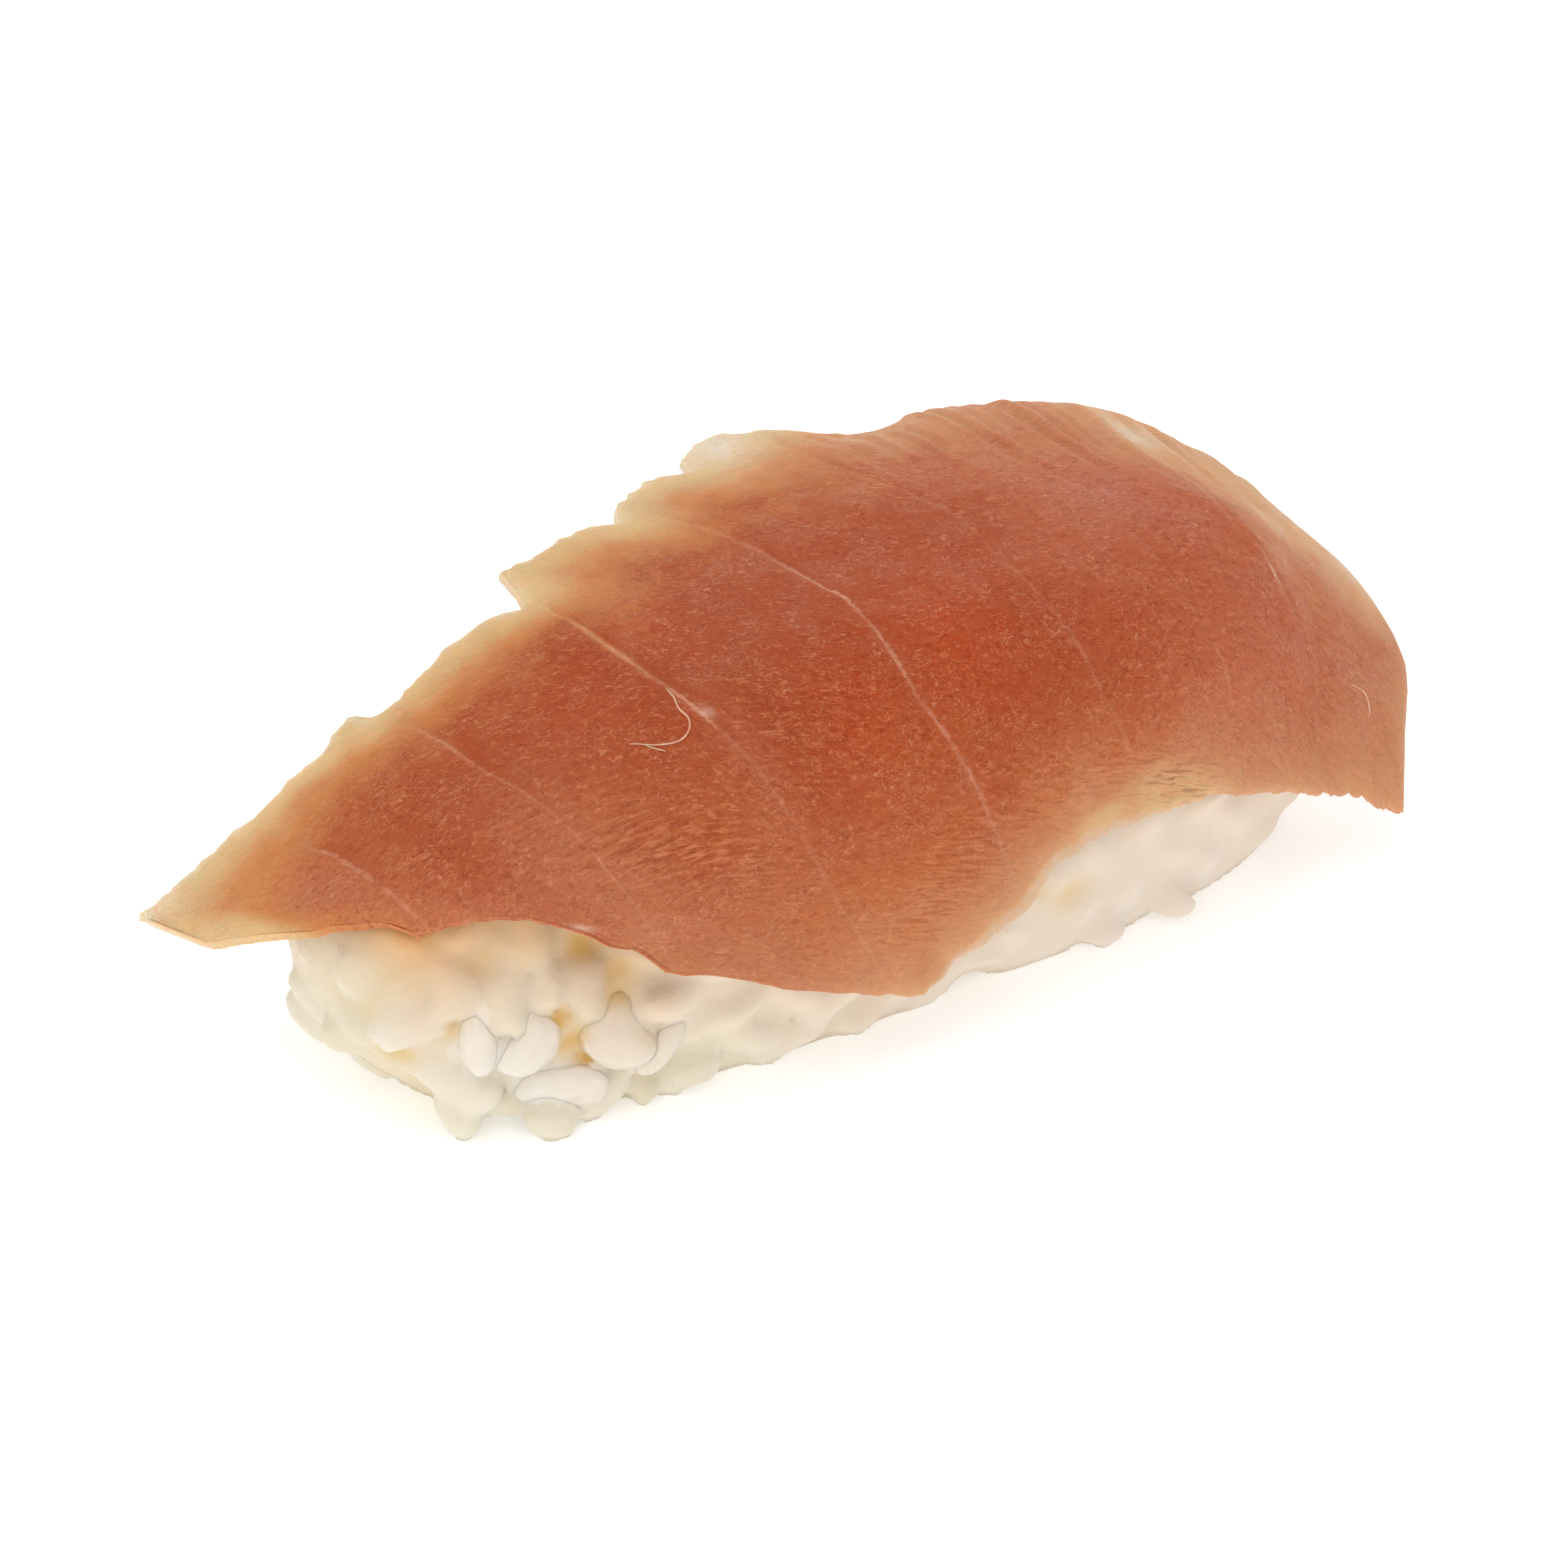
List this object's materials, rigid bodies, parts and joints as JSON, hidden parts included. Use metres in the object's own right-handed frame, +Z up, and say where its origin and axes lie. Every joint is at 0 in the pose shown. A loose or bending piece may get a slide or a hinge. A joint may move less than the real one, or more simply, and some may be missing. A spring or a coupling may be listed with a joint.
{
  "type": "tuna nigiri",
  "caption": "Tuna nigiri: a long pad of pressed white rice with a leaf-shaped slice of raw tuna draped over it.",
  "frame": {"origin": "middle of the rice pad's flat base", "axes": "+Z up, +X along the pad from the slice's pointed end to its blunt end, -Y towards the side where the slice hangs lowest"},
  "size_m": [0.0797, 0.034, 0.0271],
  "materials": {
    "rice": "moist cooked white rice, cream white, slightly translucent",
    "tuna": "raw tuna, brownish orange red, translucent, with a pale cream margin and thin pale sinews"
  },
  "bodies": {
    "root": {"rice": "rice", "tuna_slice": "tuna"}
  },
  "joints": []
}
